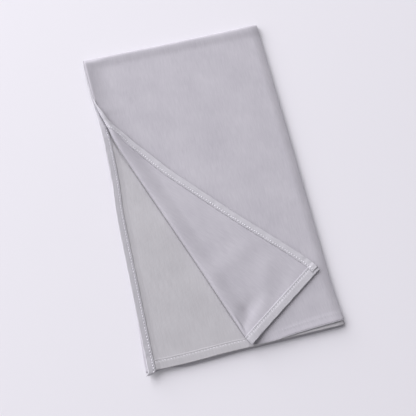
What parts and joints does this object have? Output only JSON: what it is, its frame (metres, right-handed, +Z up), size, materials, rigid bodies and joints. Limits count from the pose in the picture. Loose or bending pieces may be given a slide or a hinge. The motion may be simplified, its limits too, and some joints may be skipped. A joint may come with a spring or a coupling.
{
  "type": "folded jersey hijab",
  "caption": "Plain jersey head scarf, hemmed all round, folded flat into a long rectangle with one corner of its top layer turned back over the pack.",
  "frame": {"origin": "middle of the pack's footprint, on the surface it lies on", "axes": "+Z up; +Y towards the end with the cross folds, -Y towards the hemmed ends; +X towards the lengthwise fold, -X towards the hemmed sides"},
  "size_m": [0.2752, 0.4672, 0.0168],
  "materials": {
    "jersey": "matt fine-ribbed knit, cool light grey",
    "jersey_wrong_side": "matt knit, wrong side, slightly lighter grey"
  },
  "bodies": {
    "root": {"top_layer": "jersey", "corner_side_hem": "jersey_wrong_side", "corner_end_hem": "jersey_wrong_side", "second_layer": "jersey_wrong_side", "second_side_hem": "jersey_wrong_side", "second_end_hem": "jersey_wrong_side", "lower_layers": "jersey"}
  },
  "joints": []
}
